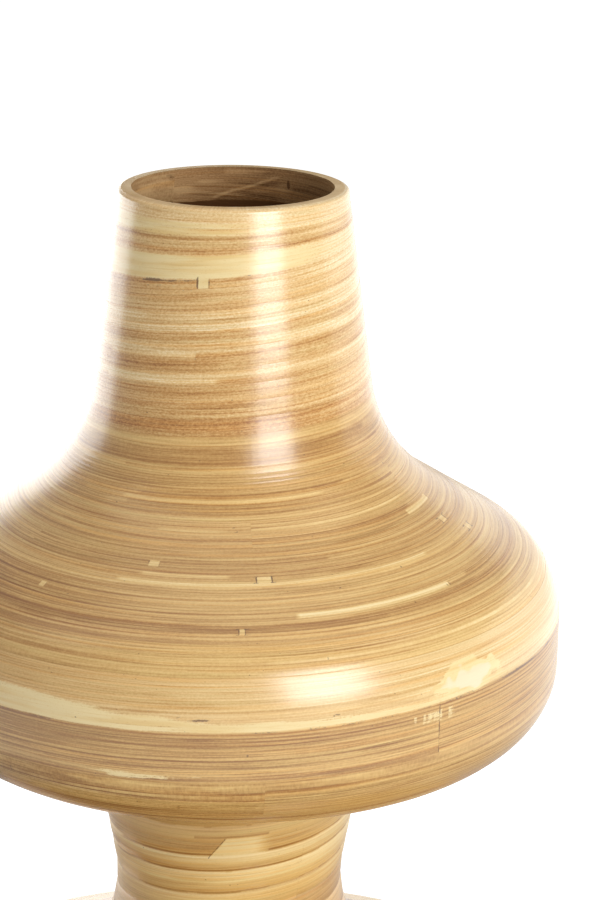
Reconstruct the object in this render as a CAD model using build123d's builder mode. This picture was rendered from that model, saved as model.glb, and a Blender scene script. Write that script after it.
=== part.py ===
from build123d import *
import math
import os

# Vase wound from bamboo strip in one rising spiral, rim to floor.
# Millimetres, +Z up, origin at the middle of the floor's underside.

# Outline corners of the wall's outside, as radius and height above the floor
height = 555.0
rim_radius = 50.6
neck_foot_radius = 67.0
neck_foot_height = 436.0
belly_radius = 149.4
shoulder_height = 385.0
under_height = 318.0
waist_top_radius = 62.5
waist_top_height = 289.0
waist_foot_radius = 44.5
waist_foot_height = 189.5
lower_belly_radius = 228.0
lower_shoulder_height = 108.0
hub_radius = 16.0

# Rounding of those corners
neck_round = 68.0
shoulder_round = 40.0
under_round = 32.0
waist_top_round = 14.0
waist_round = 66.0
lower_shoulder_round = 38.0
foot_round = 46.0
straight = 0.95

# Wall and joints
wall = 6.0
scarf = 2.5
glue_line = 0.12

# Winding: turns of the coil in each part of the wall
neck_turns = 3.05
shoulder_turns = 7.77
belly_turns = 2.7
under_turns = 4.79
waist_turns = 3.76
lower_shoulder_turns = 6.88
lower_belly_turns = 4.72
foot_turns = 2.54
base_turns = 4.62
neck_plies = 4
waist_plies = 3

# Winding: ends and butt joints
first_width = 10.3
last_width = 8.0
stations = 12
run_turns = 1.1465
lower_run_turns = 0.85
rim_joint_azimuth = 125.6

os.makedirs("parts", exist_ok=True)

# The outline starts a wall's thickness above the rim, so that the rim can be cut level
neck_lean = (neck_foot_radius - rim_radius) / (height - neck_foot_height)
corners = [
    (rim_radius - neck_lean * wall, height + wall),
    (neck_foot_radius, neck_foot_height),
    (belly_radius, shoulder_height),
    (belly_radius, under_height),
    (waist_top_radius, waist_top_height),
    (waist_foot_radius, waist_foot_height),
    (lower_belly_radius, lower_shoulder_height),
    (lower_belly_radius, 0),
    (hub_radius, 0),
]
rounds = [neck_round, shoulder_round, under_round, waist_top_round, waist_round,
          lower_shoulder_round, foot_round]


def half_turn(corner):
    """Tangent of half the angle by which the outline turns at a corner."""
    before = Vector(*corners[corner]) - Vector(*corners[corner - 1])
    after = Vector(*corners[corner + 1]) - Vector(*corners[corner])
    return math.tan(math.radians(before.get_angle(after)) / 2)


# A rounding takes no more than its share of the straight runs on both sides of it
reaches = [0] + [radius * half_turn(i + 1) for i, radius in enumerate(rounds)] + [0]
rooms = [math.dist(corners[i], corners[i + 1]) / (reaches[i] + reaches[i + 1]) for i in range(len(corners) - 1)]
fitted = [radius * min(1, straight * rooms[i], straight * rooms[i + 1]) for i, radius in enumerate(rounds)]
with BuildLine() as outline:
    FilletPolyline(*corners, radius=fitted)
path = outline.wire()
path_length = path.length
lengths = [edge.length for edge in path.edges()]
rim_along = wall * math.hypot(1, neck_lean)


def wall_point(along, depth):
    """Radius and height of the wall's point this far along the outline and this deep under its outside."""
    spot = path.position_at(along, position_mode=PositionMode.LENGTH)
    heading = path.tangent_at(along, position_mode=PositionMode.LENGTH)
    return (spot.X + heading.Y * depth, spot.Y - heading.X * depth)


def round_at(corner, share):
    """Length along the outline at this share of the way round one of its corners."""
    before = sum(lengths[: 2 * corner - 1])
    return before + share * lengths[2 * corner - 1]


# Each part of the wall, where it ends along the outline, its turns and the strips side by side in a turn
sections = [
    ("neck", round_at(1, 0.3), neck_turns, neck_plies),
    ("shoulder", round_at(2, 0.6), shoulder_turns, 1),
    ("belly", round_at(3, 0.6), belly_turns, 1),
    ("under", round_at(4, 0.2), under_turns, 1),
    ("waist", round_at(5, 0.6), waist_turns, waist_plies),
    ("lower_shoulder", round_at(6, 0.4), lower_shoulder_turns, 1),
    ("lower_belly", round_at(7, 0.2), lower_belly_turns, 1),
    ("foot", round_at(7, 1.0), foot_turns, 1),
    ("base", path_length - last_width, base_turns, 1),
]

# Turns wound, and length along the outline, where each part of the wall ends
knots = [(0, rim_along + first_width)]
for _, end, turns, _ in sections:
    knots.append((knots[-1][0] + turns, end))
total_turns = knots[-1][0]

# Rise of the coil in one turn: the mean of each part of the wall, and the value where two parts meet
spans = [after[0] - before[0] for before, after in zip(knots[:-1], knots[1:])]
rises = [(after[1] - before[1]) / (after[0] - before[0]) for before, after in zip(knots[:-1], knots[1:])]
slopes = []
for k in range(1, len(rises)):
    near = 2 * spans[k] + spans[k - 1]
    far = spans[k] + 2 * spans[k - 1]
    slopes.append((near + far) / (near / rises[k - 1] + far / rises[k]))
slopes.insert(0, (3 * rises[0] - slopes[0]) / 2)
slopes.append((3 * rises[-1] - slopes[-1]) / 2)


def part_index(turn):
    """Which part of the wall the coil has reached after so many turns."""
    return sum(1 for knot in knots[1:-1] if turn > knot[0])


def along_at(turn):
    """Length along the outline that the coil's lower edge has reached after so many turns."""
    k = part_index(turn)
    f = (turn - knots[k][0]) / spans[k]
    start = (1 + 2 * f) * (1 - f) ** 2 * knots[k][1] + f * (1 - f) ** 2 * spans[k] * slopes[k]
    end = f * f * (3 - 2 * f) * knots[k + 1][1] - f * f * (1 - f) * spans[k] * slopes[k + 1]
    return start + end


# Lower edge of the coil at each station, one turn being so many stations
last_start = round(total_turns * stations)
edges = [along_at(total_turns * i / last_start) for i in range(last_start + 1)]

# Runs of strip between butt joints: the rim turn, the turns from there to the foot of the waist, the turns of the
# wide lower body, where a length of strip reaches less far round, and the last turn around the hub
waist_foot_station = knots[5][0] / total_turns * last_start
upper_runs = math.ceil((waist_foot_station - stations) / (run_turns * stations))
joints = [stations + round(k * run_turns * stations) for k in range(upper_runs + 1)]
lower_start = joints[-1]
lower_runs = round((last_start - lower_start) / (lower_run_turns * stations))
joints += [lower_start + round(k * (last_start - lower_start) / lower_runs) for k in range(1, lower_runs + 1)]
runs = [(0, stations)]
runs += list(zip(joints[:-1], joints[1:]))
runs += [(last_start, last_start + stations)]


def coil_edges(station, first, last):
    """Upper and lower edge of the coil at a station, each with its slant through the wall."""
    upper = (rim_along, -wall * neck_lean) if first else (edges[station - stations], scarf)
    lower = (path_length, 0) if last else (edges[station], scarf)
    return upper, lower


def strip_edge(upper, lower, share, inset):
    """Point on the outside and on the inside of the wall at this share of the coil's width."""
    along = upper[0] + share * (lower[0] - upper[0]) + inset
    slant = upper[1] if share == 0 else lower[1] if share == 1 else scarf
    return along, along + slant


def wall_curve(start, end, depth):
    """Points of the wall between two lengths along the outline, at this depth."""
    return [wall_point(start + (end - start) * k / 2, depth) for k in range(3)]


counts = {}
for first_station, last_station in runs:
    is_first = first_station == 0
    is_last = first_station == last_start
    middle = (first_station + last_station - stations) / 2
    part, _, _, strips = sections[part_index(total_turns * middle / last_start)]
    for ply in range(strips):
        counts[part] = counts.get(part, 0) + 1
        name = f"{part}_strip_{counts[part]:02d}"
        with BuildPart() as strip:
            for station in range(first_station, last_station + 1):
                upper, lower = coil_edges(station, is_first, is_last)
                top_inset = 0 if is_first and ply == 0 else glue_line / 2
                top = strip_edge(upper, lower, ply / strips, top_inset)
                bottom = strip_edge(upper, lower, (ply + 1) / strips, -glue_line / 2)
                outside = wall_curve(top[0], bottom[0], 0)
                inside = wall_curve(bottom[1], top[1], wall)
                azimuth = rim_joint_azimuth - 360 * station / stations
                end_inset = math.degrees(glue_line / 2 / outside[1][0])
                if station == first_station:
                    azimuth -= end_inset
                if station == last_station:
                    azimuth += end_inset
                turn = math.radians(azimuth)
                radial = Plane((0, 0, 0), (math.cos(turn), math.sin(turn), 0),
                               (math.sin(turn), -math.cos(turn), 0))
                with BuildSketch(radial):
                    with BuildLine():
                        Spline(*outside)
                        Line(outside[-1], inside[0])
                        Spline(*inside)
                        Line(inside[-1], outside[0])
                    make_face()
            loft()
        strip.part.label = name
        export_step(strip.part, f"parts/{name}.step")

# Round plug at the middle of the floor
with BuildPart() as base_hub:
    with BuildSketch():
        Circle(hub_radius - glue_line)
    extrude(amount=wall)
base_hub.part.label = "base_hub"
export_step(base_hub.part, "parts/base_hub.step")
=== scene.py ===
import math

import bpy
import numpy as np
from mathutils import Matrix, Vector


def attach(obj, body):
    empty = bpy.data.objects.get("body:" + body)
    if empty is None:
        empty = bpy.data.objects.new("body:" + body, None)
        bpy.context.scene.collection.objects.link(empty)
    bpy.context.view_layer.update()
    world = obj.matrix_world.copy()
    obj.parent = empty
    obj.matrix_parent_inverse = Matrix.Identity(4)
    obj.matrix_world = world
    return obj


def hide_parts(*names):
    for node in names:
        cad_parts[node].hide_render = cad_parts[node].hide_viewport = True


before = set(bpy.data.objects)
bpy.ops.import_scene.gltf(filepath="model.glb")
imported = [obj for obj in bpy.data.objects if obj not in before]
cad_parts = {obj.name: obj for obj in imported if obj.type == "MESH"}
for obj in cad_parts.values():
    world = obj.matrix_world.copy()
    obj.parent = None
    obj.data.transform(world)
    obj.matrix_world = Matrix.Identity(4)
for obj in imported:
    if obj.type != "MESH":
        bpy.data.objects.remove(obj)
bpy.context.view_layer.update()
MM = 0.001

# Outline corners of the wall's outside (radius and height, mm) and their rounding, as in the part's source
HEIGHT = 555.0
RIM_RADIUS = 50.6
NECK_FOOT = (67.0, 436.0)
WALL = 6.0
SCARF = 2.5
LEAN = (NECK_FOOT[0] - RIM_RADIUS) / (HEIGHT - NECK_FOOT[1])
CORNERS = [(RIM_RADIUS - LEAN * WALL, HEIGHT + WALL), NECK_FOOT, (149.4, 385.0), (149.4, 318.0),
           (62.5, 289.0), (44.5, 189.5), (228.0, 108.0), (228.0, 0.0), (16.0, 0.0)]
ROUNDS = [68.0, 40.0, 32.0, 14.0, 66.0, 38.0, 46.0]
RIM_ALONG = WALL * math.hypot(1, LEAN)

# Winding: part of the wall, corner and share of its rounding where it ends, turns, strips side by side
SECTIONS = [("neck", 1, 0.3, 3.05, 4), ("shoulder", 2, 0.6, 7.77, 1), ("belly", 3, 0.6, 2.7, 1),
            ("under", 4, 0.2, 4.79, 1), ("waist", 5, 0.6, 3.76, 3), ("lower_shoulder", 6, 0.4, 6.88, 1),
            ("lower_belly", 7, 0.2, 4.72, 1), ("foot", 7, 1.0, 2.54, 1), ("base", None, None, 4.62, 1)]
UPPER_SECTIONS = 5
STATIONS = 12
DEGREES = 360 / STATIONS
FIRST_WIDTH = 10.3
LAST_WIDTH = 8.0
RUN_TURNS = 1.1465
LOWER_RUN_TURNS = 0.85
RIM_JOINT = 125.6
FRONT_AZIMUTH = -90.0

# Spacing of the points along the outline and of the lane count (mm), and of the length wound (in stations)
OUTLINE_STEP = 0.5
FINE_STEP = 0.25
STATION_STEP = 1 / 16

# Width that one turn of thin strip shows, by length along the wall from the rim (mm)
SHOWN_WIDTH = [(0, 9), (90, 8.5), (102, 4.5), (114, 2.6), (126, 1.9), (140, 1.7), (186, 1.7), (196, 2.4), (208, 5),
               (226, 24), (256, 24), (262, 8), (270, 3), (284, 1.8), (350, 1.9), (362, 4.5), (372, 8.5), (420, 8.5),
               (440, 5), (462, 2.4), (480, 1.9), (625, 1.9), (640, 4), (655, 24), (690, 24), (705, 6),
               (720, 2.6), (740, 2.0), (937, 2.0)]

# Mesh of each part of the wall: column and row spacing, groove depth, bulge and lift of a lane (mm), how much the
# tone differs from lane to lane, how strong its streaks and its grit are, and how pale it is
DETAIL = {
    "neck": (2.0, 0.6, 0.02, 0.03, 0.03, 0.1, 0.75, 1.9, 1.0),
    "shoulder": (2.5, 0.45, 0.03, 0.02, 0.03, 0.25, 0.85, 0.9, 0.15),
    "belly": (3.0, 0.8, 0.04, 0.0, 0.04, 0.12, 0.75, 0.95, 0.6),
    "under": (3.0, 0.7, 0.04, 0.03, 0.04, 0.28, 1.5, 1.4, 0.0),
    "waist": (2.0, 0.6, 0.0, 0.0, 0.03, 0.1, 0.45, 0.5, 0.0),
    "lower_shoulder": (5.0, 1.0, 0.05, 0.03, 0.05, 0.3, 1.0, 1.0, 0.1),
    "lower_belly": (6.0, 2.5, 0.05, 0.0, 0.05, 0.15, 0.9, 1.0, 0.3),
    "foot": (6.0, 1.5, 0.05, 0.0, 0.05, 0.3, 1.0, 1.0, 0.0),
    "base": (6.0, 2.0, 0.05, 0.0, 0.03, 0.3, 1.0, 1.0, 0.0),
}
SEAT = 0.01
LEAST_COLUMNS = 8
LEAST_ROWS = 3
LEAST_GAP = 0.12
INNER_ROWS = 3
MOUTH_ROW = 1.0
RIM_ROUND = 1.7
RIM_ROWS = [0.015, 0.03, 0.05, 0.08, 0.12, 0.16, 0.21, 0.27]
LANE_JITTER = 0.3
GROOVE_HALF = 0.45
BULGE_MEAN = 0.67
LIFT_MEAN = 0.7
LIFT_SEEDS = 5
SHARP = 38.0

# Where columns stand closer together: degrees from the front and spacing
FINE_SPANS = {"belly": (28.5, 54.0, 0.3), "waist": (-11.0, 19.0, 0.4), "neck": (-22.0, -9.0, 0.3)}

# Smooth noise over the wall: height, cells around, length of a cell along the wall (mm) and seed
SEED = 7
CELLS = 400
FIRST_CELL = 3
WAVES = {
    "edge": (1.0, 11, 30, 1), "edge_fine": (0.3, 40, 12, 2), "line": (0.25, 30, 9, 3),
    "putty_width": (0.3, 60, 40, 4), "putty": (0.3, 45, 4, 18), "spot": (0.4, 90, 5, 5),
    "spot_fine": (0.3, 240, 2, 21), "scar": (1.0, 620, 7, 19), "ragged": (0.5, 23, 40, 13),
    "crack": (1.0, 260, 60, 6), "below": (1.0, 110, 60, 7), "dark": (0.45, 90, 40, 14),
    "lining": (0.5, 50, 30, 15), "mouth": (1.0, 24, 2.2, 16), "lift": (0.5, 9, 15, 20),
    "uneven": (0.22, 7, 45, 8), "uneven_fine": (0.03, 60, 7, 9), "back": (0.55, 5, 16, 10),
    "back_plies": (0.55, 5, 9, 10), "tick": (0.5, 200, 2.5, 17), "inner": (0.15, 40, 10, 11),
    "inner_tone": (0.5, 5, 14, 12),
}

# Keys of the random numbers for each lane's lift, where its strips begin and their tones
KEY_OFFSET = 1000
LIFT_KEY, SHIFT_KEY, TONE_KEY = 1, 2, 3

# Tone bands at the front by length from the rim (mm): left, middle and right, from brown -1 to cream 1; on the belly
# and underside the darker left values are in part painted shade on the left side
SIDE_ANGLE = 55.0
BANDS = [(-9, 0.35, 0.4, 0.4), (4.6, 0.7, 0.75, 0.5), (11, -0.7, -0.45, -0.4), (13, 0.1, 0.1, 0.1),
         (15, -0.3, -0.4, -0.5), (18.5, 0.9, 0.95, 0.8), (28, -0.6, 0.0, 0.55), (34.7, -0.3, -0.35, -0.1),
         (42, 0.35, 0.15, 0.4), (47, 0.5, 0.6, 0.3), (50, -0.5, -0.35, -0.4), (55.7, 0.8, 0.2, 0.7),
         (59, -0.6, -0.35, -0.4), (68.5, 0.75, 0.15, 0.3), (72, -0.4, -0.5, -0.2), (82, -0.3, -0.4, 0.0),
         (89, -0.55, -0.65, -0.35), (92, -0.35, -0.45, -0.2), (97.5, 0.1, -0.05, 0.25), (102.5, -0.2, -0.05, -0.1),
         (126, -0.05, 0.05, 0.05), (150, -0.1, -0.1, 0.0), (170, -0.7, 0.0, -0.05), (186.5, -1.0, -0.3, -0.2),
         (193, -0.6, 0.1, 0.0), (205, -0.3, 0.2, 0.45), (233.4, -0.75, -0.42, -0.15), (243, -0.6, -0.15, -0.05),
         (256, -0.7, -0.05, 0.05), (262, -0.8, -0.15, 0.0), (290, -0.7, -0.02, 0.0), (366, 0.0, 0.1, 0.35),
         (371, 0.3, 0.5, 0.85), (378, 0.1, 0.2, 0.75), (387, 0.8, 1.0, 1.15), (391.5, 0.2, 0.5, 0.85),
         (395.5, 0.8, 1.1, 1.2), (402, 0.3, 0.6, 0.9), (408, 0.7, 0.8, 0.8), (414, 0.2, 0.5, 0.6), (419, 0, 0, 0)]
BAND_SOFT = 0.9
TONE_GAIN = 0.72
NECK_GAIN = 0.72
NECK_END = (80.0, 112.0)
NECK_LIFT = (-0.08, -0.02, 0.1)

# The bands end towards the back (degrees). One length of thin strip, and how softly tones end with a run (mm)
BACK = (95.0, 125.0)
SEGMENT = 1700.0
RUN_FADE = 90.0

# Single strips that stand out: length from the rim, half width (mm), tone, and degrees from the front
LINES = [(103.3, 0.7, -0.7, -60, 60), (110.0, 0.6, -0.6, -40, 70), (122.0, 0.6, -0.55, -30, 40),
         (124.5, 0.6, 0.6, -35, 30), (137.7, 0.6, 0.5, -20, 60), (143.0, 1.0, -0.5, -70, 60),
         (162.0, 0.8, 0.75, -20, -1), (166.4, 0.9, 0.8, -25, 50), (184.0, 1.3, 1.3, 13, 48),
         (190.0, 1.2, -0.4, -60, 30), (235.0, 0.6, -0.5, -80, 80), (246.0, 0.7, -0.4, -80, 80),
         (49.8, 0.5, 0.9, -18, 24), (60.6, 1.0, 0.9, -60, -15.5),
         (65.0, 2.6, -0.55, -60, -6), (72.0, 1.0, 0.9, -60, -6), (57.6, 0.9, 0.7, 22, 60),
         (386.6, 0.5, -0.7, -60, -3), (386.6, 0.5, -0.6, 18, 60), (395.2, 0.6, -0.6, -70, 70),
         (407.7, 0.6, -0.5, -70, 70), (377.4, 0.7, -0.55, -15, 17)]
LINE_SOFT = (0.7, 1.3)
LINE_COVER = 0.6
END_SOFT = 0.6

# Cream bands of the neck: from and to length from the rim, the degrees over which they fade out, and how solid
CREAMS = [(18.8, 28.2, -5, 60, 0.95), (5.2, 10.8, -40, 60, 0.62)]
CREAM_SOFT = (0.5, 0.4)
CREAM_FADE = 0.6

# Dark ragged lines: length from the rim, half width (mm), depth of tone, and degrees from the front
DARK_LINES = [(28.9, 0.6, 1.0, -45, -15.2), (31.2, 1.7, 0.42, -36, -15.2), (33.0, 0.6, 0.6, -24, -15.2),
              (28.4, 0.35, 0.6, -11, 9), (10.9, 0.35, 0.5, -50, 5), (49.0, 0.3, 0.5, -25, -8),
              (58.6, 0.3, 0.5, -60, -15), (233.9, 0.55, 0.8, 37, 75), (233.9, 0.5, 0.6, -85, -30),
              (260.0, 0.4, 0.5, 12, 20)]
DARK_MEAN = 0.75

# Putty along the belly's seam: where the seam passes the front, width of the putty by degrees from the front,
# and single spots (degrees, length from the rim, half sizes in degrees and mm, how solid)
SEAM = 233.4
SEAM_SOFT = 0.3
SEAM_PUTTY = [(-95, 12), (-60, 12), (-40, 11.5), (-22, 10.5), (-14, 7.5), (0, 5.0), (18, 3.8), (30, 3.2), (36, 3.6),
              (40, 4), (50, 2.6), (60, 1.2), (95, 0.8)]
PUTTY_FADE, PUTTY_EDGE = 0.55, 1.5
PUTTY_MEAN = 0.85
PUTTY_THIN, PUTTY_THIN_SPAN = 0.3, (5, 28)
PUTTY_SPOTS = [(42.6, 226.6, 8.0, 6.6, 1.2), (-20.5, 252.8, 5.0, 0.9, 0.55),
               (-12.5, 253.6, 6.5, 1.5, 0.62), (-5.6, 253.2, 2.2, 0.8, 0.5)]
SPOT_SOFT = (0.35, 1.3)

# Dark dashes above the putty, and a painted shadow line in dashes below the seam: distance and half width (mm), depth,
# steps in their noise, degrees
CRACK, CRACK_DARK, CRACK_STEP, CRACK_SPAN = (0.3, 0.3), 0.8, (-0.3, 0.1), ((-16, -12), (18, 26))
SEAM_SHADOW, SEAM_SHADOW_DARK, SEAM_SHADOW_STEP = (0.3, 0.45), 0.8, (0.1, 0.6)

# Below the seam the streaks are stronger and the strip isn't pale
BELOW_SEAM, BELOW_SPAN = 0.6, (-0.5, 1.0)

# Short upright scars beside the end of the belly's strip: degrees from the front, and lengths from the rim
SCARS = (28.5, 41.0, 236.0, 242.5)
SCAR_SOFT, SCAR_STEP, SCAR_FILL = (2, 1), (-0.15, 0.2), 0.5

# Scratch on the waist, both ends as degrees from the front and length from the rim, its depth of tone and half width
# (mm); and the pale patch right of it, its tone and how softly it ends (degrees left and right, mm above and below)
SCRATCH = ((-9.5, 388.5), (-1.5, 377.9))
SCRATCH_DARK, SCRATCH_HALF = 0.6, 0.6
PATCH_TONE = 1.7
PATCH_LEFT, PATCH_RIGHT = (0, 0.8), (9.5, 20.5)
PATCH_TOP, PATCH_FOOT = (-0.4, 0.8), (-3, 2)

# Bands of the waist: their edges by length from the rim, bulge (mm), painted shade from top to foot, and how edges
# wander
WAIST_EDGES = [355.0, 371.0, 387.0, 395.5, 408.0, 419.0, 430.0, 441.0, 452.0, 463.0, 474.0, 485.0, 500.0]
WAIST_BULGE, WAIST_LEVEL = 0.4, 0.5
WAIST_SHADE, WAIST_SHADE_PIVOT = 0.35, 0.4
EDGE_WANDER = 0.7
WAIST_WANDER, WAIST_START = 1.6, (358.0, 366.0)

# Butt joints in single turns: degrees from the front, length from the rim, half width and half height (mm) and what
# shows; negative half widths leave one tick in the middle
BUTTS = [(-18.3, 156.7, 1.8, 1.6, "soft"), (-41.2, 177.4, 1.2, 1.4, "soft"), (7.4, 163.9, 2.8, 1.6, "gap"),
         (2.1, 190.6, 0.9, 1.4, "gap"), (67.6, 157.2, 2.0, 1.6, "gap"), (73.4, 167.9, 2.0, 1.6, "gap"),
         (65.0, 145.7, 10.5, 1.5, "patch"), (-13.0, 31.3, 2.0, 3.9, "plug"), (48.2, 184.0, 0.5, 1.2, "tick"),
         (35.6, 246.3, -0.42, 12.4, "end"), (17.3, 380.6, -0.42, 2.2, "faint"),
         (-15.2, 62.5, -0.42, 5.0, "faint"), (150.0, 150.0, 1.5, 1.5, "gap"), (-140.0, 172.0, 1.5, 1.5, "gap"),
         (120.0, 183.0, 1.2, 1.5, "gap"), (-110.0, 140.0, 1.6, 1.5, "gap")]
PALE_BUTTS = ("gap", "soft", "patch")
BUTT_TONE = 0.6
BUTT_MARGIN = 0.1
BUTT_NEAR = 1.0
BUTT_COLUMNS = 40
TICK = 0.42
TICK_COLUMNS = 4
TICK_MEAN = 0.8
TICK_DEPTH = {"gap": 0.75, "patch": 0.1, "soft": 0.45, "faint": 0.5, "end": 0.6, "tick": 0.5, "plug": 1.0}
PLUG_RIGHT = 0.6
SERIF, SERIF_HALF, SERIF_DARK = 3.0, 0.4, 0.6

# Inside of the mouth: an edge of the lining that runs down aslant (degrees round from the front and depth of both
# ends, mm) with painted shade below it, a dark knot and a rough spot (degrees, depth, half sizes in degrees and mm),
# and the depth from which painted shade darkens the inside
LINING = ((154.2, 4.5), (192.0, 14.8))
LINING_START, LINING_END = (-0.1, 0.05), (0.97, 1.0)
LINING_PALE, LINING_HALF = 0.9, 0.55
LINING_SHADE, LINING_BELOW = 0.3, (0.5, 1.2)
MOUTH_PALE, MOUTH_STEP = 0.5, (0.1, 0.7)
MOUTH_KNOT, KNOT_SOFT = (146.6, 7.1, 1.3, 2.4), (0.6, 1.1)
MOUTH_ROUGH, ROUGH_SOFT, ROUGH_DARK = (219.0, 2.8, 4.0, 2.2), (0.7, 1.2), 0.4
DEEP_SHADE_DEPTH = (15.4, 16.6)
DEEP_SHADE, DEEP_SHADE_DARK = 1.6, 0.9

# Lane numbers between strips side by side, and how far a strip's first and last rows move into their lanes
PLY_LANES = 10
LANE_EASE, INNER_EASE = 0.002, 0.01

# Texture layout: width of an edge (mm), share of the inside, margin and share of a row and of the sheet, end faces
UV_EDGE, UV_INNER = 1.5, 0.35
UV_ROW, UV_SHEET = (0.04, 0.92), (0.004, 0.985)
UV_CAP = (0.994, 0.003)

# Colours as the photograph shows them, brown to cream
LACQUER_STOPS = [(0.0, (140, 92, 42)), (0.25, (168, 122, 62)), (0.5, (203, 161, 95)), (0.75, (224, 187, 117)),
                 (1.0, (241, 214, 152))]
PALE_STOPS = [(0.0, (152, 98, 44)), (0.25, (192, 141, 77)), (0.5, (219, 180, 119)), (0.75, (238, 211, 160)),
              (1.0, (251, 237, 206))]
BARE_STOPS = [(0.0, (96, 64, 36)), (0.5, (166, 127, 86)), (1.0, (208, 170, 122))]
SANDED_STOPS = [(0.0, (150, 118, 80)), (0.5, (203, 173, 130)), (1.0, (230, 204, 162))]
PUTTY = (238, 216, 160)
PUTTY_WARM = (229, 197, 130)
PUTTY_WHITE = (240, 224, 192)
PUTTY_SPECK = (0.9, 0.84, 0.74, 1)
WARM_TINT = (1.02, 0.94, 0.80, 1)
OLIVE_TINT = (0.95, 0.98, 0.96, 1)
DARK_MARK = (86, 56, 32)
LACQUER_LOOK = {"fibre": 1.5, "streak": 0.8, "grit": 0.8, "hair": 0.34, "blotch": 0.25, "line": 0.3,
                "rough": 0.3, "coat": 1.0, "bump": 0.3, "pale": PALE_STOPS}
BARE_LOOK = {"fibre": 1.0, "streak": 1.2, "grit": 0.8, "hair": 0.3, "blotch": 0.5, "line": 0.4,
             "rough": 0.6, "coat": 0.0, "bump": 0.6, "pale": BARE_STOPS}
SANDED_LOOK = {"fibre": 0.8, "streak": 0.7, "grit": 1.2, "hair": 0.0, "blotch": 0.4, "line": 0.0,
               "rough": 0.5, "coat": 0.1, "bump": 0.5, "pale": SANDED_STOPS}

# Noise of the strip: cells to a millimetre along and across it, detail and roughness; and its shift from lane to lane
GRAINS = {"fibre": (0.03, 1.5, 3.0, 0.7), "hair": (0.0028, 1.25, 3.0, 0.55), "broad": (0.0035, 0.8, 4.0, 0.6),
          "patch": (0.022, 0.3, 2.0, 0.5), "grit": (0.8, 1.4, 2.0, 0.7), "hue": (0.007, 0.5, 3.0, 0.6),
          "speck": (0.55, 0.9, 0.0, 0.5)}
LANE_SHIFT = 3.71

# Where things start and are complete in that noise, those that fall with 1 and 0 after it, and how much of them shows
DARK_HAIR, PALE_HAIR, PALE_HAIR_SHARE = (0.54, 0.6), (0.4, 0.46, 1.0, 0.0), 0.7
BLOTCH = (0.53, 0.72)
BORDER, BORDER_SHOWN = (0.08, 0.42, 1.0, 0.0), (0.42, 0.62)
WARM, OLIVE = (0.5, 0.68), (0.32, 0.5, 1.0, 0.0)
CREAM_WARM, CREAM_GRIT, CREAM_FIBRE = (0.4, 0.7), (0.55, 0.75), (0.5, 0.75)
WHITE_FILL = (1.05, 1.25)
FILL_FIBRE, FILL_GRIT, FILL_STEP, FILL_LEAST, FILL_COVER = 1.1, 0.5, (0.36, 0.6), (0.02, 0.12), 0.9
SPECK_STEP, SPECK_COVER = (0.855, 0.88), 0.6
DARK_GRIT, DARK_STEP, DARK_LEAST, DARK_COVER = 0.9, (0.3, 0.6), (0.02, 0.15), 0.8

# Gloss and fine relief: a clear coat over wood without gloss of its own
FIBRE_ROUGH = 0.16
BROAD_RELIEF, EDGE_RELIEF, GRIT_RELIEF = 0.6, -0.6, 0.6
RELIEF = 0.00035
COAT_ROUGHNESS = 0.25
COAT_IOR = 1.7
WOOD_IOR = 1.5
SHEEN = 0.0

# End grain of the hub: dots and rings to a metre, strength of the rings, roughness and relief
DOTS = 1300.0
RINGS = 2400.0
RING_SHARE = 0.08
END_ROUGH, END_RELIEF, END_BUMP = 0.6, 0.0003, 0.5

# Stage (metres): what the camera sees of the floor glows, less near the foot, where the shadow lies; in the lacquer
# the floor shows between the foot and the far floor
FLOOR_HALF = 12.0
FLOOR_COLOUR = (0.55, 0.55, 0.55, 1)
FLOOR_GLOW = 0.86
SHADOW_GLOW = 0.5
SHADOW_REACH = (0.28, 0.6)
MIRRORED_GLOW = 0.95
SWEEP = (2.8, 4.2)
FAR_SHARE = 0.3
FOOT_SHADE = (0.38, 0.75)
WORLD = 0.38
WORLD_COLOUR = (1, 1, 1, 1)
MIRRORED_SKY = 0.3

# Lamps: degrees from the front and above the horizon, distance from the aim and size (metres), power (watts)
AIM = (0.0, 0.0, 0.4)
LAMPS = [("key", 32, 18.5, 1.9, (0.9, 1.15), 28.0), ("sheet_left", -144, -0.3, 1.2, (1.7, 0.78), 13.0),
         ("sheet_right", 128, 1.0, 1.1, (1.6, 0.85), 4.4), ("top", 0, 85, 1.5, (3.6, 0.9), 5.0)]

# Camera
LENS = 106.0
SHIFT_X = 0.0761
PITCH = 17.0
ROLL = 0.33
EYE = (0.0, -1.1404, 0.7831)


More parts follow.
